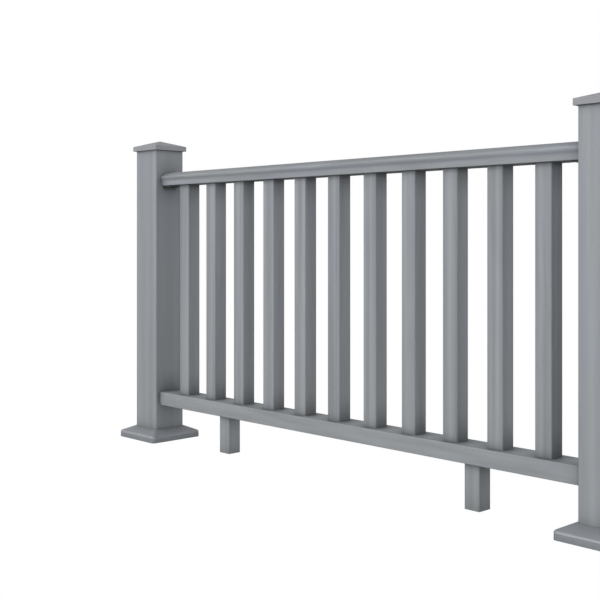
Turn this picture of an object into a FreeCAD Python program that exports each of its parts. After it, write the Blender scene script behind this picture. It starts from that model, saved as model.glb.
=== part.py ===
import FreeCAD, Part
import Sketcher
import math
import os

# Deck railing section, one bay between two sleeved posts.
# Frame: +X along the rail towards the second post, +Y across the rail,
# +Z up. Origin: centre of the first post's foot, on the deck surface.
# Millimetres throughout.

doc = FreeCAD.newDocument("deck_railing_section")
sheet = doc.addObject("Spreadsheet::Sheet", "dims")

SIZES = [
    # spacing along the rail
    ("pitch", 140.0),              # baluster centre to baluster centre
    ("first_baluster", 171.2),     # post centre to first baluster centre
    ("baluster_count", 11),
    # square section of balusters and foot blocks
    ("baluster_width", 48.0),
    ("baluster_round", 4.0),
    # heights above the deck
    ("foot_height", 119.9),
    ("bottom_rail_height", 45.1),
    ("top_rail_under", 870.8),
    # bottom rail section
    ("bottom_rail_width", 86.0),
    ("bottom_rail_round", 3.0),
    # top rail section, heights from its underside
    ("band_width", 70.8),
    ("band_height", 13.4),
    ("band_round", 1.5),
    ("nose_half", 39.4),
    ("nose_wide", 28.2),           # height where the nose stands out furthest
    ("nose_radius", 6.0),
    ("crown_height", 45.7),
    # post sleeve and its timber
    ("sleeve_width", 116.4),
    ("sleeve_round", 5.5),
    ("sleeve_wall", 11.0),
    ("sleeve_bore_round", 1.5),
    ("core_width", 88.9),
    ("core_round", 3.0),
    ("core_height", 985.0),
    # cap
    ("cap_under", 993.5),
    ("cap_width", 132.5),
    ("cap_round", 2.0),
    ("cap_side", 15.8),
    ("cap_rise", 19.4),
    ("cap_peak", 3.0),
    ("cap_peak_round", 1.0),
    ("cap_edge", 1.5),
    ("cap_socket_depth", 9.0),
    ("cap_play", 0.5),
    # skirt
    ("skirt_width", 199.5),
    ("skirt_round", 12.0),
    ("skirt_shoulder", 20.8),
    ("skirt_height", 38.5),
    ("skirt_play", 0.5),
    ("skirt_rim", 1.2),
    ("skirt_edge", 7.0),
    ("skirt_wall", 4.5),
    # angle bracket under the top rail
    ("bracket_width", 51.0),
    ("bracket_drop", 13.6),
    ("bracket_reach", 38.0),
    ("bracket_gauge", 3.0),
]
VALUE = {}
for row, (name, number) in enumerate(SIZES, start=1):
    sheet.set("A%d" % row, name)
    sheet.set("B%d" % row, str(number))
    sheet.setAlias("B%d" % row, name)
    VALUE[name] = float(number)
doc.recompute()


class Dim:
    """A length that carries its number and the sheet formula it comes from."""

    def __init__(self, value, formula):
        self.value = float(value)
        self.formula = formula

    @staticmethod
    def of(other):
        if isinstance(other, Dim):
            return other
        return Dim(other, repr(float(other)))

    def __add__(self, other):
        other = Dim.of(other)
        return Dim(self.value + other.value, "(%s + %s)" % (self.formula, other.formula))

    def __sub__(self, other):
        other = Dim.of(other)
        return Dim(self.value - other.value, "(%s - %s)" % (self.formula, other.formula))

    def __mul__(self, other):
        other = Dim.of(other)
        return Dim(self.value * other.value, "(%s * %s)" % (self.formula, other.formula))

    def __truediv__(self, other):
        other = Dim.of(other)
        return Dim(self.value / other.value, "(%s / %s)" % (self.formula, other.formula))

    def __neg__(self):
        return Dim(-self.value, "(0 - %s)" % self.formula)


def cell(name):
    return Dim(VALUE[name], "dims." + name)


ZERO = Dim(0.0, "0")

pitch = cell("pitch")
post_spacing = cell("first_baluster") * 2 + pitch * (cell("baluster_count") - 1)
sleeve_half = cell("sleeve_width") / 2
bottom_rail_top = cell("foot_height") + cell("bottom_rail_height")
sleeve_top = cell("cap_under") + cell("cap_socket_depth")
rail_length = post_spacing - cell("sleeve_width")


def new_body(label):
    body = doc.addObject("PartDesign::Body", label)
    body.Label = label
    return body


def origin_plane(body, role):
    for feature in body.Origin.OriginFeatures:
        if feature.Role == role:
            return feature
    raise RuntimeError("no plane " + role)


def new_sketch(body, name, role, offset=None):
    sketch = body.newObject("Sketcher::SketchObject", body.Label + "_" + name)
    sketch.AttachmentSupport = [(origin_plane(body, role), "")]
    sketch.MapMode = "FlatFace"
    if offset is not None:
        sketch.setExpression("AttachmentOffset.Base.z", offset.formula)
    return sketch


def pin(sketch, index, position, axis, where, label):
    """Holds one coordinate of a vertex at a sheet value."""
    kind = "DistanceX" if axis == 0 else "DistanceY"
    if abs(where.value) < 1e-9:
        sketch.addConstraint(Sketcher.Constraint("PointOnObject", index, position, -2 if axis == 0 else -1))
        return
    if where.value > 0:
        number = sketch.addConstraint(Sketcher.Constraint(kind, -1, 1, index, position, where.value))
        formula = where.formula
    else:
        number = sketch.addConstraint(Sketcher.Constraint(kind, index, position, -1, 1, -where.value))
        formula = (-where).formula
    sketch.renameConstraint(number, label)
    sketch.setExpression("Constraints." + label, formula)


def outline(sketch, corners, arcs):
    """Closed outline through corners. arcs[i] = (radius, turn) makes the side
    from corner i to the next an arc: turn +1 runs anticlockwise, -1 clockwise."""
    total = len(corners)
    points = [FreeCAD.Vector(x.value, y.value, 0) for x, y in corners]
    first, last = {}, {}
    for i in range(total):
        a, b = points[i], points[(i + 1) % total]
        if i not in arcs:
            sketch.addGeometry(Part.LineSegment(a, b), False)
            first[i], last[i] = 1, 2
            continue
        radius, turn = arcs[i]
        chord = b.sub(a)
        middle = (a + b) * 0.5
        reach = math.sqrt(max(radius.value ** 2 - (chord.Length / 2) ** 2, 0.0))
        side = FreeCAD.Vector(-chord.y, chord.x, 0)
        side.normalize()
        centre = middle + side * (reach * turn)
        start = math.atan2(a.y - centre.y, a.x - centre.x)
        stop = math.atan2(b.y - centre.y, b.x - centre.x)
        circle = Part.Circle(centre, FreeCAD.Vector(0, 0, 1), radius.value)
        if turn > 0:
            while stop < start:
                stop += 2 * math.pi
            sketch.addGeometry(Part.ArcOfCircle(circle, start, stop), False)
            first[i], last[i] = 1, 2
        else:
            while start < stop:
                start += 2 * math.pi
            sketch.addGeometry(Part.ArcOfCircle(circle, stop, start), False)
            first[i], last[i] = 2, 1
    for i in range(total):
        j = (i + 1) % total
        sketch.addConstraint(Sketcher.Constraint("Coincident", i, last[i], j, first[j]))
    for i, (x, y) in enumerate(corners):
        pin(sketch, i, first[i], 0, x, "across_%d" % i)
        pin(sketch, i, first[i], 1, y, "along_%d" % i)
    for i, (radius, turn) in arcs.items():
        number = sketch.addConstraint(Sketcher.Constraint("Radius", i, radius.value))
        label = "radius_%d" % i
        sketch.renameConstraint(number, label)
        sketch.setExpression("Constraints." + label, radius.formula)


def rounded_square(sketch, half, radius):
    inner = half - radius
    corners = [
        (-inner, -half), (inner, -half),
        (half, -inner), (half, inner),
        (inner, half), (-inner, half),
        (-half, inner), (-half, -inner),
    ]
    outline(sketch, corners, {1: (radius, 1), 3: (radius, 1), 5: (radius, 1), 7: (radius, 1)})


def pad(body, sketch, name, length, both_ways=False):
    feature = body.newObject("PartDesign::Pad", body.Label + "_" + name)
    feature.Profile = sketch
    feature.setExpression("Length", length.formula)
    if both_ways:
        feature.Midplane = True
    return feature


def pocket_up(body, sketch, name, depth):
    """Cuts from the sketch upwards, and makes sure that it cut something."""
    doc.recompute()
    before = body.Shape.Volume
    feature = body.newObject("PartDesign::Pocket", body.Label + "_" + name)
    feature.Profile = sketch
    feature.setExpression("Length", depth.formula)
    feature.Reversed = True
    doc.recompute()
    if not body.Shape.Volume < before - 1.0:
        raise RuntimeError("pocket cut nothing: " + feature.Label)
    return feature


def loft(body, kind, name, lower, upper):
    feature = body.newObject(kind, body.Label + "_" + name)
    feature.Profile = lower
    feature.Sections = [upper]
    feature.Ruled = True
    return feature


def ease(body, name, radius, wanted):
    """Rounds the edges of the body so far that the test picks."""
    doc.recompute()
    base = body.Tip
    picked = ["Edge%d" % (i + 1) for i, edge in enumerate(base.Shape.Edges) if wanted(edge)]
    if not picked:
        raise RuntimeError("no edge to ease on " + body.Label)
    feature = body.newObject("PartDesign::Fillet", body.Label + "_" + name)
    feature.Base = (base, picked)
    feature.setExpression("Radius", radius.formula)
    doc.recompute()
    return feature


def put(body, x, y, z):
    body.setExpression("Placement.Base.x", x.formula)
    body.setExpression("Placement.Base.y", y.formula)
    body.setExpression("Placement.Base.z", z.formula)


PIECES = []


def post(side, x):
    # timber inside
    core = new_body(side + "_post_core")
    sketch = new_sketch(core, "section", "XY_Plane")
    rounded_square(sketch, cell("core_width") / 2, cell("core_round"))
    pad(core, sketch, "length", cell("core_height"))
    put(core, x, ZERO, ZERO)

    # hollow square sleeve
    sleeve = new_body(side + "_post_sleeve")
    sketch = new_sketch(sleeve, "outside", "XY_Plane")
    rounded_square(sketch, sleeve_half, cell("sleeve_round"))
    pad(sleeve, sketch, "length", sleeve_top)
    sketch = new_sketch(sleeve, "bore", "XY_Plane")
    rounded_square(sketch, sleeve_half - cell("sleeve_wall"), cell("sleeve_bore_round"))
    pocket_up(sleeve, sketch, "hollow", sleeve_top)
    put(sleeve, x, ZERO, ZERO)

    # cap: square rim, low pyramid on top, socket below for the sleeve
    cap = new_body(side + "_post_cap")
    sketch = new_sketch(cap, "rim", "XY_Plane")
    rounded_square(sketch, cell("cap_width") / 2, cell("cap_round"))
    pad(cap, sketch, "side", cell("cap_side"))
    lower = new_sketch(cap, "eaves", "XY_Plane", cell("cap_side"))
    rounded_square(lower, cell("cap_width") / 2, cell("cap_round"))
    upper = new_sketch(cap, "peak", "XY_Plane", cell("cap_side") + cell("cap_rise"))
    rounded_square(upper, cell("cap_peak") / 2, cell("cap_peak_round"))
    loft(cap, "PartDesign::AdditiveLoft", "pyramid", lower, upper)
    eaves = VALUE["cap_side"]
    ease(cap, "eased_rim", cell("cap_edge"),
         lambda edge: all(abs(v.Z - eaves) < 1e-6 for v in edge.Vertexes)
         and edge.BoundBox.ZLength < 1e-6)
    sketch = new_sketch(cap, "socket_outline", "XY_Plane")
    rounded_square(sketch, sleeve_half + cell("cap_play"), cell("sleeve_round"))
    pocket_up(cap, sketch, "socket", cell("cap_socket_depth"))
    put(cap, x, ZERO, cell("cap_under"))

    # skirt: upright edge, rounded shoulder, slope up to the sleeve, hollow below
    skirt = new_body(side + "_post_skirt")
    foot_half = cell("skirt_width") / 2
    hole_half = sleeve_half + cell("skirt_play")
    sketch = new_sketch(skirt, "foot", "XY_Plane")
    rounded_square(sketch, foot_half, cell("skirt_round"))
    pad(skirt, sketch, "edge", cell("skirt_shoulder"))
    lower = new_sketch(skirt, "shoulder", "XY_Plane", cell("skirt_shoulder"))
    rounded_square(lower, foot_half, cell("skirt_round"))
    upper = new_sketch(skirt, "collar", "XY_Plane", cell("skirt_height"))
    rounded_square(upper, hole_half + cell("skirt_rim"), cell("sleeve_round"))
    loft(skirt, "PartDesign::AdditiveLoft", "slope", lower, upper)
    shoulder = VALUE["skirt_shoulder"]
    ease(skirt, "rounded_shoulder", cell("skirt_edge"),
         lambda edge: all(abs(v.Z - shoulder) < 1e-6 for v in edge.Vertexes)
         and edge.BoundBox.ZLength < 1e-6)
    wall = cell("skirt_wall")
    inner_half = foot_half - wall
    inner_round = cell("skirt_round") / 2
    step = cell("skirt_shoulder") - wall * 1.7
    sketch = new_sketch(skirt, "inside", "XY_Plane")
    rounded_square(sketch, inner_half, inner_round)
    pocket_up(skirt, sketch, "inside_edge", step)
    lower = new_sketch(skirt, "inside_shoulder", "XY_Plane", step)
    rounded_square(lower, inner_half, inner_round)
    upper = new_sketch(skirt, "inside_collar", "XY_Plane", cell("skirt_height") - wall)
    rounded_square(upper, hole_half + cell("skirt_rim"), inner_round)
    before = skirt.Shape.Volume
    loft(skirt, "PartDesign::SubtractiveLoft", "inside_slope", lower, upper)
    doc.recompute()
    if not skirt.Shape.Volume < before - 1.0:
        raise RuntimeError("skirt hollow cut nothing")
    sketch = new_sketch(skirt, "hole", "XY_Plane")
    rounded_square(sketch, hole_half, cell("sleeve_round"))
    pocket_up(skirt, sketch, "sleeve_hole", cell("skirt_height"))
    put(skirt, x, ZERO, ZERO)

    PIECES.extend([core, sleeve, cap, skirt])


def square_bar(label, x, z, length):
    body = new_body(label)
    sketch = new_sketch(body, "section", "XY_Plane")
    rounded_square(sketch, cell("baluster_width") / 2, cell("baluster_round"))
    pad(body, sketch, "length", length)
    put(body, x, ZERO, z)
    PIECES.append(body)


post("left", ZERO)
post("right", post_spacing)

# bottom rail: a flat bar with eased long edges, from sleeve to sleeve
bottom_rail = new_body("bottom_rail")
sketch = new_sketch(bottom_rail, "section", "YZ_Plane")
half = cell("bottom_rail_width") / 2
tall = cell("bottom_rail_height")
ease_r = cell("bottom_rail_round")
outline(sketch, [
    (-(half - ease_r), ZERO), (half - ease_r, ZERO),
    (half, ease_r), (half, tall - ease_r),
    (half - ease_r, tall), (-(half - ease_r), tall),
    (-half, tall - ease_r), (-half, ease_r),
], {1: (ease_r, 1), 3: (ease_r, 1), 5: (ease_r, 1), 7: (ease_r, 1)})
pad(bottom_rail, sketch, "length", rail_length)
put(bottom_rail, sleeve_half, ZERO, cell("foot_height"))
PIECES.append(bottom_rail)

# top rail: flat lower band, ogee out to a nose, and an arched crown
# that runs on smoothly from the nose
top_rail = new_body("top_rail")
sketch = new_sketch(top_rail, "section", "YZ_Plane")
band = cell("band_width") / 2
band_top = cell("band_height")
nose = cell("nose_half")
wide = cell("nose_wide")
waist = (band + nose) / 2
waist_height = (band_top + wide) / 2
out = nose - band
up = wide - band_top
ogee = (out * out + up * up) / (out * 4)
nose_radius = cell("nose_radius")
inset = nose - nose_radius
lean = (cell("crown_height") - wide - nose_radius) / inset
lean_square = lean * lean
crown = inset + nose_radius * lean * 2 / (lean_square + 1)
start = wide + nose_radius * (Dim.of(1) - lean_square) / (lean_square + 1)
arch = cell("crown_height") - start
crown_radius = (crown * crown + arch * arch) / (arch * 2)
outline(sketch, [
    (-band, ZERO), (band, ZERO), (band, band_top), (waist, waist_height), (nose, wide),
    (crown, start), (-crown, start), (-nose, wide), (-waist, waist_height), (-band, band_top),
], {
    2: (ogee, -1), 3: (ogee, 1), 4: (nose_radius, 1), 5: (crown_radius, 1),
    6: (nose_radius, 1), 7: (ogee, 1), 8: (ogee, -1),
})
pad(top_rail, sketch, "length", rail_length)
run = rail_length.value
ease(top_rail, "eased_band", cell("band_round"),
     lambda edge: abs(edge.Length - run) < 1e-6 and abs(edge.BoundBox.ZMax) < 1e-6)
put(top_rail, sleeve_half, ZERO, cell("top_rail_under"))
PIECES.append(top_rail)

# balusters stand between the rails
for i in range(int(VALUE["baluster_count"])):
    square_bar("baluster_%02d" % (i + 1), cell("first_baluster") + pitch * i,
               bottom_rail_top, cell("top_rail_under") - bottom_rail_top)

# foot blocks under the bottom rail, midway between two balusters
square_bar("left_foot_block", cell("first_baluster") + pitch * 1.5, ZERO, cell("foot_height"))
square_bar("right_foot_block", post_spacing - cell("first_baluster") - pitch * 1.5,
           ZERO, cell("foot_height"))

# angle brackets that carry the ends of the top rail
for side, x, turn in (("left", sleeve_half, 0.0), ("right", post_spacing - sleeve_half, 180.0)):
    body = new_body(side + "_rail_bracket")
    sketch = new_sketch(body, "section", "XZ_Plane")
    gauge = cell("bracket_gauge")
    drop = cell("bracket_drop")
    reach = cell("bracket_reach")
    outline(sketch, [
        (ZERO, ZERO), (gauge, ZERO), (gauge, drop - gauge),
        (reach, drop - gauge), (reach, drop), (ZERO, drop),
    ], {})
    pad(body, sketch, "width", cell("bracket_width"), both_ways=True)
    body.Placement = FreeCAD.Placement(FreeCAD.Vector(0, 0, 0),
                                       FreeCAD.Rotation(FreeCAD.Vector(0, 0, 1), turn))
    put(body, x, ZERO, cell("top_rail_under") - drop)
    PIECES.append(body)

doc.recompute()

# everything has to be sound before any file is written
for thing in doc.Objects:
    if "Invalid" in thing.State or "Error" in thing.State:
        raise RuntimeError("failed: %s %s" % (thing.Label, thing.State))
for piece in PIECES:
    shape = piece.Shape
    if shape.isNull() or not shape.isValid() or len(shape.Solids) != 1:
        raise RuntimeError("not one sound solid: " + piece.Label)

os.makedirs("parts", exist_ok=True)
for piece in PIECES:
    box = piece.Shape.BoundBox
    print("%-20s %9.1f cm3  x %8.2f %8.2f  y %7.2f %7.2f  z %8.2f %8.2f" % (
        piece.Label, piece.Shape.Volume / 1000.0,
        box.XMin, box.XMax, box.YMin, box.YMax, box.ZMin, box.ZMax))
    piece.Shape.exportStep("parts/" + piece.Label + ".step")
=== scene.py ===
import math

import bmesh
import bpy
from mathutils import Matrix, Vector


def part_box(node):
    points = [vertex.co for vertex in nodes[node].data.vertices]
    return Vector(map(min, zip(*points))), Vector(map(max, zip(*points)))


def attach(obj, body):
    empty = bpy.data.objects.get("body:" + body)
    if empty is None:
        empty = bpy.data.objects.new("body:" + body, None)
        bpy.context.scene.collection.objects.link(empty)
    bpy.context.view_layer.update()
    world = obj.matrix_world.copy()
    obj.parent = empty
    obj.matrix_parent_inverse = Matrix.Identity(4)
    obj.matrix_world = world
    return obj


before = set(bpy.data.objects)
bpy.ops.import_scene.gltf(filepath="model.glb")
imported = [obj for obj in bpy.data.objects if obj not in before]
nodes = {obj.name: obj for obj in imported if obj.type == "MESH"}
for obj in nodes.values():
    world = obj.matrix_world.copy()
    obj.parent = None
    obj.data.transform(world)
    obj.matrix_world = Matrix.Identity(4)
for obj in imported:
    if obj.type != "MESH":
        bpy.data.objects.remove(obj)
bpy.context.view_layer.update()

scene = bpy.context.scene


# ---------------------------------------------------------------- materials

class Tree:
    """Short names for building one material's node tree."""

    def __init__(self, name):
        self.material = bpy.data.materials.new(name)
        self.material.use_nodes = True
        self.tree = self.material.node_tree
        self.shader = self.tree.nodes["Principled BSDF"]

    def add(self, kind, **settings):
        node = self.tree.nodes.new(kind)
        for key, value in settings.items():
            setattr(node, key, value)
        return node

    def join(self, source, target):
        self.tree.links.new(source, target)

    def object_point(self):
        return self.add("ShaderNodeTexCoord").outputs["Object"]

    def scaled(self, vector, scale, offset=(0.0, 0.0, 0.0)):
        node = self.add("ShaderNodeMapping")
        self.join(vector, node.inputs["Vector"])
        node.inputs["Scale"].default_value = scale
        node.inputs["Location"].default_value = offset
        return node.outputs["Vector"]

    def noise(self, vector, scale=1.0, detail=2.0, rough=0.5, warp=0.0):
        node = self.add("ShaderNodeTexNoise")
        node.noise_dimensions = "3D"
        self.join(vector, node.inputs["Vector"])
        node.inputs["Scale"].default_value = scale
        node.inputs["Detail"].default_value = detail
        node.inputs["Roughness"].default_value = rough
        node.inputs["Distortion"].default_value = warp
        return node.outputs["Fac"]

    def math(self, operation, a, b=None, c=None, clamp=False):
        node = self.add("ShaderNodeMath", operation=operation, use_clamp=clamp)
        for socket, value in zip(node.inputs, (a, b, c)):
            if value is None:
                continue
            if isinstance(value, (int, float)):
                socket.default_value = float(value)
            else:
                self.join(value, socket)
        return node.outputs["Value"]

    def vmath(self, operation, a, b):
        node = self.add("ShaderNodeVectorMath", operation=operation)
        for socket, value in zip(node.inputs, (a, b)):
            if isinstance(value, (tuple, list)):
                socket.default_value = value
            else:
                self.join(value, socket)
        return node.outputs["Vector"]

    def remap(self, value, low, high, to_low, to_high, smooth=False):
        node = self.add("ShaderNodeMapRange")
        node.interpolation_type = "SMOOTHSTEP" if smooth else "LINEAR"
        self.join(value, node.inputs["Value"])
        node.inputs["From Min"].default_value = low
        node.inputs["From Max"].default_value = high
        node.inputs["To Min"].default_value = to_low
        node.inputs["To Max"].default_value = to_high
        return node.outputs["Result"]

    def mix(self, factor, a, b):
        node = self.add("ShaderNodeMix", data_type="RGBA")
        if isinstance(factor, (int, float)):
            node.inputs[0].default_value = float(factor)
        else:
            self.join(factor, node.inputs[0])
        for socket, value in ((node.inputs[6], a), (node.inputs[7], b)):
            if isinstance(value, (tuple, list)):
                socket.default_value = (*value[:3], 1.0)
            else:
                self.join(value, socket)
        return node.outputs[2]

    def scale_colour(self, colour, amount):
        node = self.add("ShaderNodeVectorMath", operation="SCALE")
        self.join(colour, node.inputs[0])
        self.join(amount, node.inputs["Scale"])
        return node.outputs["Vector"]

    def by_height(self, point, stops):
        """A number that follows height: stops are (metres up, value) in order."""
        split = self.add("ShaderNodeSeparateXYZ")
        self.join(point, split.inputs["Vector"])
        tall = 1.05
        ramp = self.add("ShaderNodeValToRGB")
        self.join(self.math("DIVIDE", split.outputs["Z"], tall), ramp.inputs["Fac"])
        marks = ramp.color_ramp.elements
        while len(marks) < len(stops):
            marks.new(0.5)
        for mark, (height, value) in zip(marks, stops):
            mark.position = height / tall
            mark.color = (value, value, value, 1.0)
        return ramp.outputs["Color"]

    def corners(self, reach, power):
        """Painted shade: 1 on open faces, falling towards 0 in each tight corner and at joints, so the colour
        darkens where shade falls.
        """
        node = self.add("ShaderNodeAmbientOcclusion", samples=12)
        node.inputs["Distance"].default_value = reach
        return self.math("POWER", node.outputs["AO"], power)

    def bump(self, height, strength, distance, normal=None):
        node = self.add("ShaderNodeBump")
        self.join(height, node.inputs["Height"])
        node.inputs["Strength"].default_value = strength
        node.inputs["Distance"].default_value = distance
        if normal is not None:
            self.join(normal, node.inputs["Normal"])
        return node.outputs["Normal"]


COOL = (0.262, 0.281, 0.311)
MILD = (0.268, 0.285, 0.298)


def composite(name, along, seed, figure=1.0, tone=1.0, shade=((0.0, 1.0), (1.0, 1.0)), reach=0.075,
              painted_light_by_height=((0.0, 1.0), (1.0, 1.0))):
    """Grey wood-plastic board: soft lengthwise bands and long arched figure,
    fine fibre lines, a few short dark flecks. along is the grain's axis, and
    shade says how strongly painted shade darkens each corner and joint at each
    height, over reach metres. worn is painted light and shade: how much darker
    or lighter the colour is at each height, where shade or light falls."""
    t = Tree(name)
    p = t.object_point()

    def stretched(cross, length, offset, quiet=1.0):
        scale = [cross, cross * quiet, cross]
        scale["XYZ".index(along)] = length
        return t.scaled(p, scale, [offset + seed, offset * 0.7 - seed, offset * 0.3 + seed * 2.0])

    # uprights show their figure on the faces along the rail, in long streaks;
    # the rails' figure is shorter and more broken
    quiet, run = (0.35, 1.0) if along == "Z" else (1.0, 7.0)
    # slow wander of the grain across the board
    wander = t.noise(stretched(9.0, 2.2, 3.1), detail=1.0)
    broad = t.noise(stretched(46.0, 0.55 * run, 11.3, quiet), detail=1.0, rough=0.4, warp=0.25)
    bands = t.noise(stretched(100.0, 1.5 * run, 23.9, quiet), detail=2.0, rough=0.5, warp=0.3)
    rings = t.noise(stretched(13.0, 1.05, 41.7), detail=1.0, warp=0.2)
    rings = t.math("SINE", t.math("MULTIPLY", t.math("ADD", rings, t.math("MULTIPLY", wander, 0.15)), 62.0))
    fibre = t.noise(stretched(760.0, 14.0, 57.2), detail=3.0, rough=0.6)
    pores = t.noise(stretched(420.0, 9.0, 71.4), detail=1.0)
    pores = t.remap(pores, 0.665, 0.74, 0.0, 1.0, smooth=True)
    gate = t.remap(t.noise(stretched(40.0, 5.0, 83.8), detail=1.0), 0.5, 0.62, 0.0, 1.0, smooth=True)
    pores = t.math("MULTIPLY", pores, gate)

    light = t.remap(broad, 0.28, 0.72, -0.18 * figure, 0.18 * figure)
    light = t.math("ADD", light, t.remap(bands, 0.25, 0.75, -0.055 * figure, 0.055 * figure))
    light = t.math("ADD", light, t.math("MULTIPLY", rings, 0.022 * figure))
    light = t.math("ADD", light, t.remap(fibre, 0.2, 0.8, -0.045, 0.045))
    light = t.math("SUBTRACT", light, t.math("MULTIPLY", pores, 0.14))
    light = t.math("MULTIPLY", t.math("ADD", light, 1.0), tone)
    # painted shade: the colour darkens in each corner and at joints, as strongly as shade sets for each height
    light = t.math("MULTIPLY", light, t.corners(reach, t.by_height(p, shade)))
    # painted light and shade: the colour is made darker or lighter at each height
    light = t.math("MULTIPLY", light, t.by_height(p, painted_light_by_height))

    hue = t.remap(t.noise(stretched(52.0, 2.0, 97.1), detail=1.0), 0.38, 0.62, 0.0, 1.0, smooth=True)
    hue = t.math("MULTIPLY", hue, t.by_height(p, ((0.0, 0.2), (0.17, 0.25), (0.5, 0.9), (1.0, 1.0))))
    colour = t.mix(hue, MILD, COOL)
    t.join(t.scale_colour(colour, light), t.shader.inputs["Base Color"])
    t.join(t.remap(fibre, 0.2, 0.8, 0.50, 0.64), t.shader.inputs["Roughness"])
    t.shader.inputs["Specular IOR Level"].default_value = 0.38

    height = t.math("ADD", t.math("MULTIPLY", fibre, 0.6), t.math("MULTIPLY", bands, 0.5))
    height = t.math("SUBTRACT", height, t.math("MULTIPLY", pores, 0.7))
    t.join(t.bump(height, 0.35, 0.0006), t.shader.inputs["Normal"])
    return t.material


def moulded(name, tone=1.0, hues=(MILD, COOL), rough=(0.5, 0.6), shine=0.3, painted_shade_by_height=((0.0, 1.0), (1.0, 1.0)),
            satin=((0.0, 0.0), (1.0, 0.0))):
    """Colour-matched moulded trim: even grey with a faint mottle and a fine
    leather-like skin, with painted shade darkening it in each tight corner and at
    joints. grime is painted shade: how much darker it is at each height, and
    satin says how much rougher."""
    t = Tree(name)
    p = t.object_point()
    mottle = t.noise(t.scaled(p, (26.0, 26.0, 26.0)), detail=3.0, rough=0.55)
    skin = t.noise(t.scaled(p, (1500.0, 1500.0, 1500.0)), detail=2.0, rough=0.5)
    light = t.remap(mottle, 0.3, 0.7, tone * 0.96, tone * 1.04)
    # painted shade: the colour darkens in each corner and at joints
    light = t.math("MULTIPLY", light, t.corners(0.06, 1.0))
    # painted shade: the colour is made darker at each height where shade falls
    light = t.math("MULTIPLY", light, t.by_height(p, painted_shade_by_height))
    colour = t.mix(t.noise(t.scaled(p, (15.0, 15.0, 15.0), (5.0, 2.0, 9.0))), *hues)
    t.join(t.scale_colour(colour, light), t.shader.inputs["Base Color"])
    matt = t.math("ADD", t.remap(skin, 0.2, 0.8, rough[0], rough[1]), t.by_height(p, satin))
    t.join(matt, t.shader.inputs["Roughness"])
    t.shader.inputs["Specular IOR Level"].default_value = shine
    t.join(t.bump(skin, 0.18, 0.0002), t.shader.inputs["Normal"])
    return t.material


def sawn_timber(name):
    """Treated softwood: growth rings round a pith outside the section."""
    t = Tree(name)
    p = t.object_point()
    bent = t.noise(t.scaled(p, (14.0, 14.0, 1.2)), detail=2.0)
    across = t.scaled(p, (1.0, 1.0, 0.02), (0.031, 0.052, 0.0))
    rings = t.add("ShaderNodeTexWave", wave_type="RINGS", rings_direction="Z", wave_profile="SAW")
    t.join(across, rings.inputs["Vector"])
    rings.inputs["Scale"].default_value = 38.0
    rings.inputs["Distortion"].default_value = 1.6
    rings.inputs["Detail"].default_value = 2.0
    rings.inputs["Detail Scale"].default_value = 1.2
    fibre = t.noise(t.scaled(p, (900.0, 900.0, 12.0)), detail=2.0)
    late = t.math("POWER", rings.outputs["Fac"], 2.2)
    colour = t.mix(late, (0.47, 0.37, 0.205), (0.25, 0.165, 0.075))
    colour = t.mix(t.remap(bent, 0.35, 0.7, 0.0, 0.35), colour, (0.30, 0.31, 0.17))
    t.join(t.scale_colour(colour, t.remap(fibre, 0.2, 0.8, 0.85, 1.1)), t.shader.inputs["Base Color"])
    t.shader.inputs["Roughness"].default_value = 0.78
    t.join(t.bump(fibre, 0.5, 0.0006), t.shader.inputs["Normal"])
    return t.material


def powder_coat(name):
    """Charcoal powder coat with its fine pebbled skin."""
    t = Tree(name)
    p = t.object_point()
    peel = t.noise(t.scaled(p, (1100.0, 1100.0, 1100.0)), detail=1.0)
    cloud = t.noise(t.scaled(p, (60.0, 60.0, 60.0)), detail=2.0)
    colour = t.mix(t.remap(cloud, 0.3, 0.7, 0.0, 1.0), (0.118, 0.133, 0.131), (0.142, 0.158, 0.156))
    # painted shade: the colour darkens in each tight corner, such as against the rail's underside
    t.join(t.scale_colour(colour, t.corners(0.012, 0.8)), t.shader.inputs["Base Color"])
    t.join(t.remap(peel, 0.3, 0.7, 0.42, 0.55), t.shader.inputs["Roughness"])
    t.join(t.bump(peel, 0.3, 0.0002), t.shader.inputs["Normal"])
    return t.material


def blackened_steel(name):
    """Dark screw steel, a little brighter where the driver has rubbed it."""
    t = Tree(name)
    p = t.object_point()
    rub = t.noise(t.scaled(p, (700.0, 700.0, 700.0)), detail=3.0, rough=0.6)
    t.join(t.mix(t.remap(rub, 0.45, 0.72, 0.0, 1.0), (0.125, 0.132, 0.134), (0.23, 0.235, 0.24)),
           t.shader.inputs["Base Color"])
    t.join(t.remap(rub, 0.3, 0.7, 0.48, 0.34), t.shader.inputs["Roughness"])
    t.shader.inputs["Metallic"].default_value = 0.45
    t.join(t.bump(rub, 0.2, 0.0001), t.shader.inputs["Normal"])
    return t.material


# balusters and foot blocks: painted shade darkens the foot blocks towards the deck and just beneath the bottom
# rail, and the balusters' tops beneath the top rail
upright = composite("baluster_composite", "Z", 85.65,
                    shade=((0.10, 0.38), (0.118, 0.55), (0.125, 0.7), (0.165, 1.22), (0.2, 1.25), (0.5, 1.25), (0.80, 1.1),
                           (0.835, 0.85), (0.87, 0.75)),
                    painted_light_by_height=((0.0, 0.74), (0.0085, 0.76), (0.015, 0.81), (0.022, 0.845), (0.03, 0.885), (0.04, 0.93), (0.05, 0.96),
                          (0.065, 1.0), (0.101, 1.0), (0.107, 0.96), (0.113, 0.88), (0.12, 0.84), (0.165, 1.0), (0.19, 1.0),
                          (0.21, 0.99), (0.24, 0.972), (0.275, 0.995), (0.3, 0.998), (0.5, 1.02), (0.857, 1.03), (0.862, 0.90),
                          (0.87, 0.86)))
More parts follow.
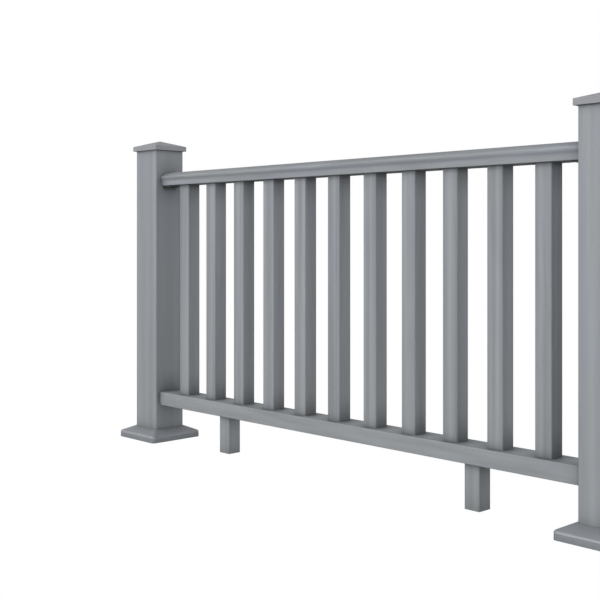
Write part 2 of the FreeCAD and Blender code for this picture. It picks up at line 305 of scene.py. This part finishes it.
# post sleeves: painted shade darkens them just above the skirt, and painted light lightens them going up towards
# the cap
post = composite("post_composite", "Z", 25.843, figure=0.55, tone=1.02,
                 shade=((0.05, 0.85), (0.075, 0.45), (0.118, 0.32), (0.165, 1.05), (0.8, 1.0), (0.87, 0.75), (0.92, 0.9),
                        (0.95, 0.95), (0.98, 1.1)),
                 painted_light_by_height=((0.0385, 0.91), (0.05, 0.95), (0.06, 0.985), (0.2, 0.99), (0.25, 1.0), (0.45, 1.03), (0.75, 1.045),
                       (0.9, 1.06), (0.96, 1.065)))
# rails: painted highlight along the top rail's nose, and painted shade on its upward-facing crown
rail = composite("rail_composite", "X", 3.0, figure=0.6, shade=((0.165, 1.0), (0.87, 0.75)), reach=0.05,
                 painted_light_by_height=((0.70, 1.0), (0.871, 0.99), (0.883, 0.985), (0.888, 1.0), (0.894, 1.0), (0.899, 1.045), (0.9025, 1.02),
                       (0.906, 0.88), (0.911, 0.82), (0.9165, 0.80)))
# cap: painted shade darkens its sloped top
cap_trim = moulded("cap_trim", tone=1.14, shine=0.15, rough=(0.52, 0.64),
                   hues=((0.274, 0.2815, 0.291), (0.2685, 0.2805, 0.299)),
                   painted_shade_by_height=((1.0105, 1.0), (1.014, 0.94), (1.0287, 0.92)))
# skirt: painted shade darkens it towards the deck and up its slope against the post
skirt_trim = moulded("skirt_trim", tone=0.955, shine=0.7, rough=(0.22, 0.31),
                     painted_shade_by_height=((0.0, 0.74), (0.004, 0.76), (0.010, 0.86), (0.0155, 0.98), (0.022, 0.975), (0.03, 0.95),
                            (0.0385, 0.91)),
                     satin=((0.0, 0.15), (0.008, 0.1), (0.013, 0.0), (0.0205, 0.0), (0.0245, 0.38), (0.0385, 0.46)))
timber = sawn_timber("treated_timber")
dark = powder_coat("charcoal_powder_coat")
steel = blackened_steel("screw_steel")

for name, piece in nodes.items():
    if name.startswith("baluster") or name.endswith("foot_block"):
        finish = upright
    elif name.endswith("sleeve"):
        finish = post
    elif name in ("top_rail", "bottom_rail"):
        finish = rail
    elif name.endswith("core"):
        finish = timber
    elif name.endswith("bracket"):
        finish = dark
    elif name.endswith("cap"):
        finish = cap_trim
    else:
        finish = skirt_trim
    piece.data.materials.clear()
    piece.data.materials.append(finish)


# -------------------------------------------------------------- bracket screws

def screw_head(work, seat, axis, turn):
    """Pan head with a square drive, standing on seat and facing along axis."""
    rings = []
    count = 32
    # radius and height of each ring up the dome, in millimetres
    for radius, height in ((3.75, -0.2), (3.9, 0.25), (3.85, 0.9), (3.45, 1.65),
                           (2.75, 2.2), (2.0, 2.45), (1.72, 2.5)):
        rings.append([(radius * math.cos(2 * math.pi * (k + 0.5) / count),
                       radius * math.sin(2 * math.pi * (k + 0.5) / count), height) for k in range(count)])
    for half, height in ((1.25, 2.48), (1.15, 2.3), (1.1, 0.9)):
        ring = []
        for k in range(count):
            a = 2 * math.pi * (k + 0.5) / count
            reach = half / max(abs(math.cos(a)), abs(math.sin(a)))
            ring.append((reach * math.cos(a), reach * math.sin(a), height))
        rings.append(ring)
    facing = Vector(axis).to_track_quat("Z", "Y").to_matrix().to_4x4()
    place = Matrix.Translation(seat) @ facing @ Matrix.Rotation(turn, 4, "Z") @ Matrix.Scale(0.001, 4)
    loops = [[work.verts.new(place @ Vector(point)) for point in ring] for ring in rings]
    for low, high in zip(loops, loops[1:]):
        for k in range(count):
            n = (k + 1) % count
            work.faces.new((low[k], low[n], high[n], high[k])).smooth = True
    work.faces.new(list(reversed(loops[0])))
    work.faces.new(loops[-1])


def bracket_screws(side, inward):
    """Four heads on one bracket: two into the post, two up into the rail."""
    low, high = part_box(side + "_rail_bracket")
    gauge = 0.003
    post_face = low[0] if inward > 0 else high[0]
    work = bmesh.new()
    level = (low[2] + high[2] - gauge) / 2
    for across, turn in ((-0.0165, 0.5), (0.0165, 1.1)):
        screw_head(work, (post_face + inward * gauge, across, level), (inward, 0, 0), turn)
    for across, turn in ((-0.0145, 0.2), (0.0145, 0.9)):
        screw_head(work, (post_face + inward * 0.0235, across, high[2] - gauge), (0, 0, -1), turn)
    mesh = bpy.data.meshes.new(side + "_bracket_screws")
    work.normal_update()
    work.to_mesh(mesh)
    work.free()
    mesh.materials.append(steel)
    piece = bpy.data.objects.new(side + "_bracket_screws", mesh)
    scene.collection.objects.link(piece)
    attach(piece, "root")


bracket_screws("left", 1.0)
bracket_screws("right", -1.0)


# ------------------------------------------------------------ floor and light

def stage_plane(name, z, colour, glow):
    mesh = bpy.data.meshes.new(name)
    mesh.from_pydata([(-30, -30, z), (30, -30, z), (30, 30, z), (-30, 30, z)], [], [(0, 1, 2, 3)])
    plane = bpy.data.objects.new(name, mesh)
    scene.collection.objects.link(plane)
    finish = bpy.data.materials.new(name)
    finish.use_nodes = True
    shader = finish.node_tree.nodes["Principled BSDF"]
    shader.inputs["Base Color"].default_value = (colour, colour, colour, 1.0)
    shader.inputs["Specular IOR Level"].default_value = 0.0
    shader.inputs["Roughness"].default_value = 0.9
    shader.inputs["Emission Color"].default_value = (1.0, 1.0, 1.0, 1.0)
    shader.inputs["Emission Strength"].default_value = glow
    mesh.materials.append(finish)
    return plane


# the pale floor that is seen, without shadows, and the one that returns light
floor = stage_plane("floor", -0.0005, 0.0, 1.0)
floor.visible_diffuse = False
floor.visible_glossy = False
floor.visible_shadow = False
bounce = stage_plane("floor_bounce", -0.001, 0.21, 0.0)
bounce.visible_camera = False
bounce.visible_shadow = False

# soft lights: where each one stands (degrees round from the front, towards the
# right, and up), how wide it is, and its strength
LIGHTS = [
    ("key", -15.0, 5.0, 35.0, 0.91),
    ("key_high", -15.0, 35.0, 35.0, 0.365),
    ("left_high", -45.0, 35.0, 35.0, 0.435),
    ("left_low", -45.0, 5.0, 35.0, 0.32),
    ("right", 45.0, 5.0, 35.0, 0.60),
    ("side", 75.0, 5.0, 35.0, 0.21),
    ("far_side", 105.0, 5.0, 35.0, 0.20),
    ("side_below", 75.0, -22.0, 35.0, 0.135),
    ("far_side_below", 105.0, -22.0, 35.0, 0.165),
    ("back_right", 135.0, 5.0, 35.0, 0.06),
    ("back", 186.0, 4.0, 35.0, 0.66),
]
for name, around, up, wide, strength in LIGHTS:
    lamp = bpy.data.lights.new(name, "SUN")
    lamp.energy = strength
    lamp.angle = math.radians(wide)
    # light that comes back up off the floor isn't stopped by the floor
    lamp.cycles.use_multiple_importance_sampling = up > 0.0
    stand = bpy.data.objects.new(name, lamp)
    a, e = math.radians(around), math.radians(up)
    towards = Vector((math.sin(a) * math.cos(e), -math.cos(a) * math.cos(e), math.sin(e)))
    stand.rotation_euler = towards.to_track_quat("Z", "Y").to_euler()
    stand.location = towards * 6.0
    scene.collection.objects.link(stand)

# white surroundings to look at, which light it more softly than they look
world = bpy.data.worlds.new("studio")
scene.world = world
world.use_nodes = True
wt = world.node_tree
wt.nodes.clear()
out = wt.nodes.new("ShaderNodeOutputWorld")
seen = wt.nodes.new("ShaderNodeBackground")
seen.inputs["Color"].default_value = (1.0, 1.0, 1.0, 1.0)
seen.inputs["Strength"].default_value = 1.0
trace = wt.nodes.new("ShaderNodeBackground")
trace.inputs["Color"].default_value = (1.0, 1.0, 1.0, 1.0)
trace.inputs["Strength"].default_value = 0.575
path = wt.nodes.new("ShaderNodeLightPath")
blend = wt.nodes.new("ShaderNodeMixShader")
wt.links.new(path.outputs["Is Camera Ray"], blend.inputs["Fac"])
wt.links.new(trace.outputs["Background"], blend.inputs[1])
wt.links.new(seen.outputs["Background"], blend.inputs[2])
wt.links.new(blend.outputs["Shader"], out.inputs["Surface"])

scene.view_settings.view_transform = "Standard"
scene.view_settings.look = "None"
scene.view_settings.exposure = 0.0
scene.view_settings.gamma = 1.0

# -------------------------------------------------------------------- camera

lens = bpy.data.cameras.new("camera")
lens.sensor_fit = "HORIZONTAL"
lens.sensor_width = 36.0
lens.lens = 36.0 * 1038.49 / 600.0
lens.shift_x = 0.0
lens.shift_y = -(300.0 - 239.39) / 600.0
lens.clip_end = 200.0
camera = bpy.data.objects.new("camera", lens)
camera.location = (2.9581, -2.1587, 0.6868)
camera.rotation_euler = (math.radians(90.0), 0.0, math.radians(46.187))
scene.collection.objects.link(camera)
scene.camera = camera
